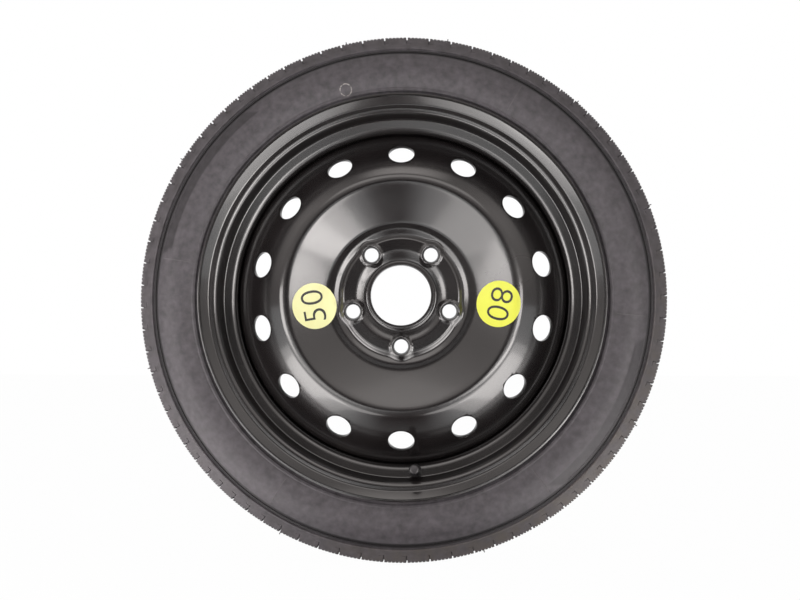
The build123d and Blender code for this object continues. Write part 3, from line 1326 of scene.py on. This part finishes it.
    def whisker_ring(self) -> Piece:
        """Makes the stubs of rubber that the mould's vents leave.

        Returns:
            All of them as one piece.
        """
        up, across = self.whisker_place
        place = on_face(self.edge + up, self.half_tread + across, 0)
        stub = rod("whisker", self.whisker_radius, self.whisker_length, 10, place, (0, math.pi / 2, 0))
        return round_copies(eased(stub, self.whisker_radius / 2, 40), self.whiskers, "whiskers")

    def build(self, rubber: Finish) -> Piece:
        """Makes the tyre with its panels, cuts and whiskers.

        Args:
            rubber: its finish.

        Returns:
            The tyre.
        """
        half = self.half_line()
        loop = half + [(radius, -out) for radius, out in half[-2:0:-1]]
        tyre = turned("tyre_rubber", loop, self.steps)
        self.press_panels(tyre)
        for cut in ShoulderCut:
            carved(tyre, self.cutter(cut))
        joined([tyre, self.whisker_ring()], "tyre_rubber")
        smoothed(tyre, self.sharp_angle)
        return placed(dressed(tyre, rubber), "wheel", "tyre")


@dataclass
class Valve:
    """Snap-in valve: its moulding, cap and spring, in mm along its own axis."""

    steps: int = 48
    hole: float = 11.3
    hole_fit: float = 0.1
    stem_length: float = 31.2
    base_radius: float = 7.0
    base_height: float = 5.0
    neck_radius: float = 4.7
    rubber_length: float = 20.5
    rubber_tail: float = 10.0
    tail_radius: float = 5.6
    tail_taper: float = 0.8
    bond: float = 3.12
    wall: float = 2.6
    cap_radius: float = 4.7
    cap_bore: float = 4.15
    cap_length: float = 12.6
    cap_crown: float = 1.0
    cap_dome: Point = (1.5, 0.12)
    cap_shoulder: float = 0.7
    cap_steps: int = 72
    cap_flutes: int = 12
    flute_radius: float = 0.7
    flute_depth: float = 0.35
    flute_margin: float = 1.3
    flute_drop: float = 0.4
    washer: float = 1.0
    spring_radius: float = 0.775
    spring_wire: float = 0.22
    spring_turns: int = 5
    spring_steps: int = 28
    spring_ends: Point = (16.31, 24.19)
    pin_travel: float = 1.2

    @property
    def place(self) -> Matrix:
        """Place of the valve, whose axis points along -Y before it is moved there.

        Returns:
            The move from the valve's own place to the wheel's.
        """
        turn = next(joint for joint in frame["joints"] if joint["name"] == "cap_turn")
        along = Vector(turn["axis"]).normalized()
        foot = Vector(turn["pos_m"]) - along * self.stem_length * MM
        across = along.cross(Vector((0, 0, 1))).normalized()
        turned_to = Matrix((across, -along, across.cross(-along))).transposed().to_4x4()
        return Matrix.Translation(foot) @ turned_to

    def moulding(self, rubber: Finish) -> Piece:
        """Makes the rubber moulding.

        Args:
            rubber: its finish.

        Returns:
            The moulding.
        """
        rear, fit = -self.wall - self.rubber_tail, self.hole / 2 - self.hole_fit
        loop = rounded([
            Corner(self.bond, self.rubber_length), Corner(self.neck_radius, self.rubber_length, 0.8, 4),
            Corner(self.neck_radius, 2 * self.base_height, 3.0, 4),
            Corner(self.base_radius, self.base_height, 2.0, 5),
            Corner(self.base_radius, self.hole_fit, 0.6, 3),
            Corner(fit, self.hole_fit), Corner(fit, -self.wall), Corner(self.tail_radius, -self.wall),
            Corner(self.tail_radius - self.tail_taper, rear, 1.5, 4), Corner(self.bond, rear),
        ], closed=True)
        piece = settle(turned("valve_moulding", loop, self.steps), self.place)
        return placed(dressed(smoothed(piece), rubber), "wheel", "valve_body")

    def cap(self, plastic: Finish) -> Piece:
        """Makes the fluted cap.

        Args:
            plastic: its finish.

        Returns:
            The cap.
        """
        inside = self.stem_length + self.washer
        top = inside + self.cap_crown
        foot = top - self.cap_length
        dome, dip = self.cap_dome
        loop = rounded([
            Corner(0, inside), Corner(self.cap_bore, inside), Corner(self.cap_bore, foot, 0.15, 2),
            Corner(self.cap_radius, foot, 0.2, 2),
            Corner(self.cap_radius, top - self.cap_shoulder, 0.9, 5),
            Corner(self.cap_radius - dome, top - dip, 1.6, 4), Corner(0, top),
        ])
        cap = turned("screw_cap", loop, self.cap_steps)
        middle = foot + self.cap_length / 2 - self.flute_drop
        place = on_face(self.cap_radius + self.flute_radius - self.flute_depth, middle, 0)
        length = self.cap_length - 2 * self.flute_margin
        flute = rod("flutes", self.flute_radius, length, 16, place, (math.pi / 2, 0, 0))
        carved(cap, round_copies(flute, spaced(self.cap_flutes), "flutes"))
        settle(smoothed(cap), self.place)
        return placed(dressed(cap, plastic), "cap", "valve_cap")

    def spring(self, steel: Finish) -> Piece:
        """Winds the core's spring at its rest length; its shortening as the pin goes in is not made here.

        Args:
            steel: its finish.

        Returns:
            The spring.
        """
        foot, top = self.spring_ends
        unselect()
        bpy.ops.mesh.primitive_circle_add(
            vertices=8, radius=self.spring_wire / 2 * MM, location=on_face(self.spring_radius, foot, 0))
        spring = applied(
            begun("wound_spring"), "SCREW", axis="Y", iterations=self.spring_turns,
            screw_offset=(foot - top) / self.spring_turns * MM,
            steps=self.spring_steps, render_steps=self.spring_steps)
        with editing(spring):
            bpy.ops.mesh.fill_holes(sides=0)
            face_outwards()
        settle(smoothed(spring), self.place)
        placed(dressed(spring, steel), "wheel", "core_spring")
        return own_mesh(spring)


@dataclass
class Label:
    """Round speed label on the dish, with plain figures, in mm."""

    node: str
    slot: str
    text: str
    radius: float
    angle: float
    reading: float
    reach: float = 25.0
    rings: int = 10
    film: float = 0.2
    gap: float = 0.12
    ink_gap: float = 0.01
    ink_height: float = 0.05
    figure_size: float = 37.0
    figure_gap: float = 1.04
    stroke_trim: float = 0.45
    cut_count: int = 9
    cut_pitch: float = 2.5
    tilt: float = 21.9

    def lay(self, piece: Piece, lift: float, line: Sequence[Point]) -> None:
        """Lays a flat piece over the dish.

        Args:
            piece: the piece in the flat, with X outwards along the dish.
            lift: its height over the paint.
            line: the dish's street side.
        """
        turn, lean = math.radians(self.angle), math.radians(self.tilt)
        outwards = Vector((math.cos(turn), 0, math.sin(turn)))
        sideways = Vector((-math.sin(turn), 0, math.cos(turn)))
        for vertex in piece.data.vertices:
            along = self.radius * MM + vertex.co.x * math.cos(lean)
            place = outwards * along + sideways * vertex.co.y
            place.y = -(height_at(line, place.length / MM) + lift / math.cos(lean)) * MM
            vertex.co = place

    def thicken(self, piece: Piece, height: float) -> Piece:
        """Gives a laid sheet its thickness towards the street.

        Args:
            piece: the sheet.
            height: its thickness.

        Returns:
            The same piece.
        """
        with editing(piece):
            face_outwards()
        if sum(face.normal.y * face.area for face in piece.data.polygons) > 0:
            piece.data.flip_normals()
        return smoothed(applied(piece, "SOLIDIFY", thickness=height * MM, offset=1.0))

    def sheet(self, line: Sequence[Point], film: Finish) -> Piece:
        """Makes the film.

        Args:
            line: the dish's street side.
            film: its finish.

        Returns:
            The film.
        """
        unselect()
        bpy.ops.mesh.primitive_circle_add(vertices=96, radius=self.reach * MM, fill_type="NGON")
        piece = begun(self.node + "_film")
        with editing(piece):
            for _ in range(self.rings - 1):
                bpy.ops.mesh.inset(thickness=self.reach * MM / self.rings)
            bpy.ops.mesh.poke()
        self.lay(piece, self.gap, line)
        self.thicken(piece, self.film)
        return placed(dressed(piece, film), "wheel", self.node)

    def figures(self, line: Sequence[Point], ink: Finish) -> Piece:
        """Prints the figures on the film.

        Args:
            line: the dish's street side.
            ink: their finish.

        Returns:
            The figures.
        """
        unselect()
        bpy.ops.object.text_add()
        words = bpy.context.object.data
        words.body, words.size, words.resolution_u = self.text, self.figure_size * MM, 6
        words.align_x, words.align_y = "CENTER", "CENTER"
        words.space_character, words.offset = self.figure_gap, -self.stroke_trim * MM
        bpy.ops.object.convert(target="MESH")
        piece = begun("figures_" + self.text)
        settle(piece, Matrix.Rotation(math.radians(self.reading - self.angle), 4, "Z"))
        with editing(piece):
            for normal in (Vector((1, 0, 0)), Vector((0, 1, 0))):
                for step in range(-self.cut_count, self.cut_count + 1):
                    bpy.ops.mesh.select_all(action="SELECT")
                    bpy.ops.mesh.bisect(plane_co=normal * step * self.cut_pitch * MM, plane_no=normal)
            merge_all()
        self.lay(piece, self.gap + self.film + self.ink_gap, line)
        self.thicken(piece, self.ink_height)
        return placed(dressed(piece, ink), "wheel")


# The studio


class Lights(Enum):
    """What a lamp lights."""

    ALL = 0
    MATT = 1
    GLOSS = 2


class Lamp(Enum):
    """A lamp's place, aim, size, radiance and what it lights, with no aim for one that faces up."""

    RIGHT = ((1.18, -1.52, -0.02), (0.0, 0.0, 0.0), (0.9, 0.5), 5.2, Lights.ALL)
    LEFT = ((-0.96, -1.06, -0.06), (0.0, 0.0, -0.1), (0.7, 0.42), 5.2, Lights.ALL)
    TOP = ((0.0, -1.6, 1.6), (0.0, 0.0, 0.0), (2.2, 1.0), 0.78, Lights.ALL)
    LOW_LEFT = ((-0.55, -0.75, -0.19), (0.0, 0.0, -0.25), (0.7, 0.16), 11.5, Lights.MATT)
    RIGHT_CARD = ((0.58, -1.15, -0.286), None, (0.92, 1.20), 3.4, Lights.GLOSS)
    RIGHT_CORE = ((0.62, -1.25, -0.285), None, (0.66, 0.96), 3.4, Lights.GLOSS)
    LEFT_CARD = ((-0.56, -1.12, -0.286), None, (0.84, 1.10), 2.0, Lights.GLOSS)
    RIGHT_STRIP = ((0.42, -0.24, -0.286), None, (0.74, 0.40), 1.7, Lights.GLOSS)
    RIGHT_GLINT = ((0.38, -0.19, -0.285), None, (0.46, 0.22), 2.4, Lights.GLOSS)
    LEFT_STRIP = ((-0.42, -0.24, -0.286), None, (0.74, 0.40), 1.6, Lights.GLOSS)
    LEFT_GLINT = ((-0.38, -0.19, -0.285), None, (0.46, 0.22), 2.6, Lights.GLOSS)


@dataclass
class Studio:
    """Floor, backdrop light, lamps and camera, in metres.

    A pair of pairs gives two directions or places and the strength of the light at each.
    """

    floor_size: float = 30.0
    floor_gap: float = 0.0004
    floor_share: float = 0.985
    floor_colour: Colour = (0.92, 0.92, 0.92)
    # Painted shadow: a dark strip on the floor before the wheel, seen only in reflections.
    painted_shadow_colour: Colour = (0.06, 0.05, 0.05)
    painted_shadow_side: tuple[Point, Point] = ((0.05, 1.0), (0.13, 0.0))
    painted_shadow_end: tuple[Point, Point] = ((-0.10, 1.0), (-0.04, 0.0))
    eye: Solid = (0.0414, -1.0962, -0.0719)
    ahead: Solid = (-0.0405, 0.9971, 0.0639)
    right: Solid = (0.99918, 0.04052, 0.00096)
    lens: float = 43.54
    sensor: float = 36.0
    clip: Point = (0.01, 100.0)
    lamp_colour: Colour = (1.0, 0.955, 0.935)
    room_colour: Colour = (1.0, 0.94, 0.91)
    room_strength: float = 0.33
    room_low: tuple[Point, Point] = ((-0.05, 0.30), (0.60, 0.78))
    room_high: tuple[Point, Point] = ((0.70, 1.0), (0.95, 0.55))
    room_top: tuple[Point, Point] = ((0.90, 0.0), (0.985, 1.6))
    room_front: tuple[Point, Point] = ((-0.99, 0.04), (-0.90, 1.0))
    room_back: tuple[Point, Point] = ((-0.05, 0.0), (0.25, 1.0))

    def camera(self) -> None:
        """Places the camera at the picture's viewing angle."""
        data = bpy.data.cameras.new("camera")
        data.lens, data.sensor_width = self.lens, self.sensor
        data.clip_start, data.clip_end = self.clip
        camera = bpy.data.objects.new("camera", data)
        bpy.context.scene.collection.objects.link(camera)
        ahead, right = Vector(self.ahead).normalized(), Vector(self.right).normalized()
        turn = Matrix((right, right.cross(ahead), -ahead)).transposed().to_4x4()
        camera.matrix_world = Matrix.Translation(self.eye) @ turn
        bpy.context.scene.camera = camera

    def lamps(self) -> None:
        """Sets the soft lamps up, each turned to its aim."""
        for kind in Lamp:
            place, aim, (wide, deep), radiance, lights = kind.value
            card = lights is Lights.GLOSS
            data = bpy.data.lights.new("lamp_" + kind.name.lower(), "AREA")
            data.shape, data.size, data.size_y = "ELLIPSE" if card else "RECTANGLE", wide, deep
            data.energy = radiance * math.pi * wide * deep * (math.pi / 4 if card else 1.0)
            data.color = self.lamp_colour
            lamp = bpy.data.objects.new(data.name, data)
            lamp.location = place
            lamp.rotation_mode = "QUATERNION"
            to_aim = Vector(aim) - Vector(place) if aim else Vector((0, 0, 1))
            lamp.rotation_quaternion = to_aim.to_track_quat("-Z", "Y")
            lamp.visible_camera = False
            lamp.visible_diffuse = not card
            lamp.visible_glossy = lights is not Lights.MATT
            bpy.context.scene.collection.objects.link(lamp)

    def shown(self, mix: Nodes) -> tuple[Socket, Socket]:
        """Tells what looks at a surface.

        Args:
            mix: the surface's node tree.

        Returns:
            Shares for the eye itself, and for gloss and clear pieces.
        """
        path = mix.add("ShaderNodeLightPath").outputs
        gloss = mix.maths("MAXIMUM", path["Is Glossy Ray"], path["Is Transmission Ray"])
        return path["Is Camera Ray"], gloss

    def backdrop(self) -> None:
        """Lights the world: white behind the wheel and to the eye, a dim room in front."""
        world = bpy.data.worlds.new("white_room")
        bpy.context.scene.world = world
        world.use_nodes = True
        world.node_tree.nodes.clear()
        mix = Nodes(world.node_tree)
        _, y, z = mix.way()
        eye, gloss = self.shown(mix)
        high = mix.product(mix.spread(z, *self.room_low), mix.spread(z, *self.room_high))
        up = mix.maths("MAXIMUM", high, mix.spread(z, *self.room_top))
        glossy = mix.product(up, mix.spread(y, *self.room_front), gloss)
        soft = mix.product(mix.maths("SUBTRACT", 1.0, gloss), self.room_strength)
        room = mix.add("ShaderNodeBackground", {
            "Color": (*self.room_colour, 1), "Strength": mix.maths("ADD", glossy, soft)})
        white = mix.add("ShaderNodeBackground", {"Color": (1, 1, 1, 1), "Strength": 1.0})
        share = mix.maths("MAXIMUM", eye, mix.product(gloss, mix.spread(y, *self.room_back)))
        both = mix.add("ShaderNodeMixShader", {0: share, 1: room.outputs[0], 2: white.outputs[0]})
        mix.add("ShaderNodeOutputWorld", {"Surface": both.outputs[0]})

    def floor(self) -> None:
        """Lays the pale floor under the tyre, with a painted shadow of the camera before it that only gloss
        shows.
        """
        unselect()
        bpy.ops.mesh.primitive_plane_add(
            size=self.floor_size, location=(0, 0, cad_box[0].z - self.floor_gap))
        floor = begun("floor")
        material = bpy.data.materials.new("pale_floor")
        material.use_nodes = True
        material.node_tree.nodes.clear()
        mix = Nodes(material.node_tree)
        x, y, _ = mix.way()
        eye, gloss = self.shown(mix)
        # Painted shadow of the camera, seen only by gloss rays, in a strip before the wheel.
        middle = mix.spread(mix.maths("ABSOLUTE", x), *self.painted_shadow_side)
        painted_shadow = mix.product(gloss, middle, mix.spread(y, *self.painted_shadow_end))
        matt = mix.add("ShaderNodeBsdfDiffuse", {"Color": (*self.floor_colour, 1)})
        glow = mix.add("ShaderNodeEmission", {"Color": mix.mixed(painted_shadow, (1, 1, 1), self.painted_shadow_colour)})
        share = mix.product(mix.maths("MAXIMUM", eye, gloss), self.floor_share)
        both = mix.add("ShaderNodeMixShader", {0: share, 1: matt.outputs[0], 2: glow.outputs[0]})
        mix.add("ShaderNodeOutputMaterial", {"Surface": both.outputs[0]})
        floor.data.materials.append(material)

    def build(self) -> None:
        """Sets the whole studio up."""
        self.camera()
        self.lamps()
        self.backdrop()
        self.floor()
        bpy.context.scene.view_settings.view_transform = "Standard"


def dress_nodes(finishes: dict[str, Finish]) -> None:
    """Gives the nodes that keep their meshes their finish.

    Args:
        finishes: the finish of each node.
    """
    for name, finish in finishes.items():
        dressed(frame["nodes"][name], finish)
        log.info("%s: finish %s", name, finish.name)


def main() -> None:
    """Builds the wheel piece by piece and reports each."""
    logging.basicConfig(level=logging.INFO, format="%(relativeCreated)d %(name)s: %(message)s")
    paint = BlackPaint().material()
    rubber = TyreRubber().material()
    brass = TurnedMetal("turned_brass", (0.72, 0.52, 0.22)).material()
    steel = TurnedMetal("bright_steel", (0.62, 0.61, 0.6)).material()
    seal = Moulding("seal_rubber", (0.03, 0.03, 0.03), 0.6).material()
    valve, disc = Valve(), Disc()
    Studio().build()
    Tyre().build(rubber)
    Rim().build(paint, valve)
    disc.build(paint)
    valve.moulding(Moulding("valve_moulding", (0.014, 0.013, 0.014), 0.5).material())
    valve.cap(Moulding("cap_plastic", (0.030, 0.028, 0.030), 0.36, 900.0).material())
    valve.spring(steel)
    pale = LabelFilm("pale_label", (0.85, 0.86, 0.45), (0.80, 0.80, 0.38)).material()
    bright = LabelFilm("bright_label", (0.77, 0.81, 0.090), (0.72, 0.76, 0.070)).material()
    ink = Moulding("black_ink", (0.010, 0.010, 0.011), 0.42).material()
    line = disc.line()
    for label, film in ((Label("label_left", "pale_label", "50", 94.4, 186.9, 101.0), pale),
                        (Label("label_right", "bright_label", "80", 105.5, 354.8, -104.0), bright)):
        label.sheet(line, film)
        label.figures(line, ink)
    dress_nodes({
        "weld_beads": paint, "valve_stem": brass, "core_plug": brass, "core_barrel": brass,
        "core_gasket": seal, "core_pin": steel, "core_seal": seal, "cap_seal": seal,
    })


if __name__ == "__main__":
    main()
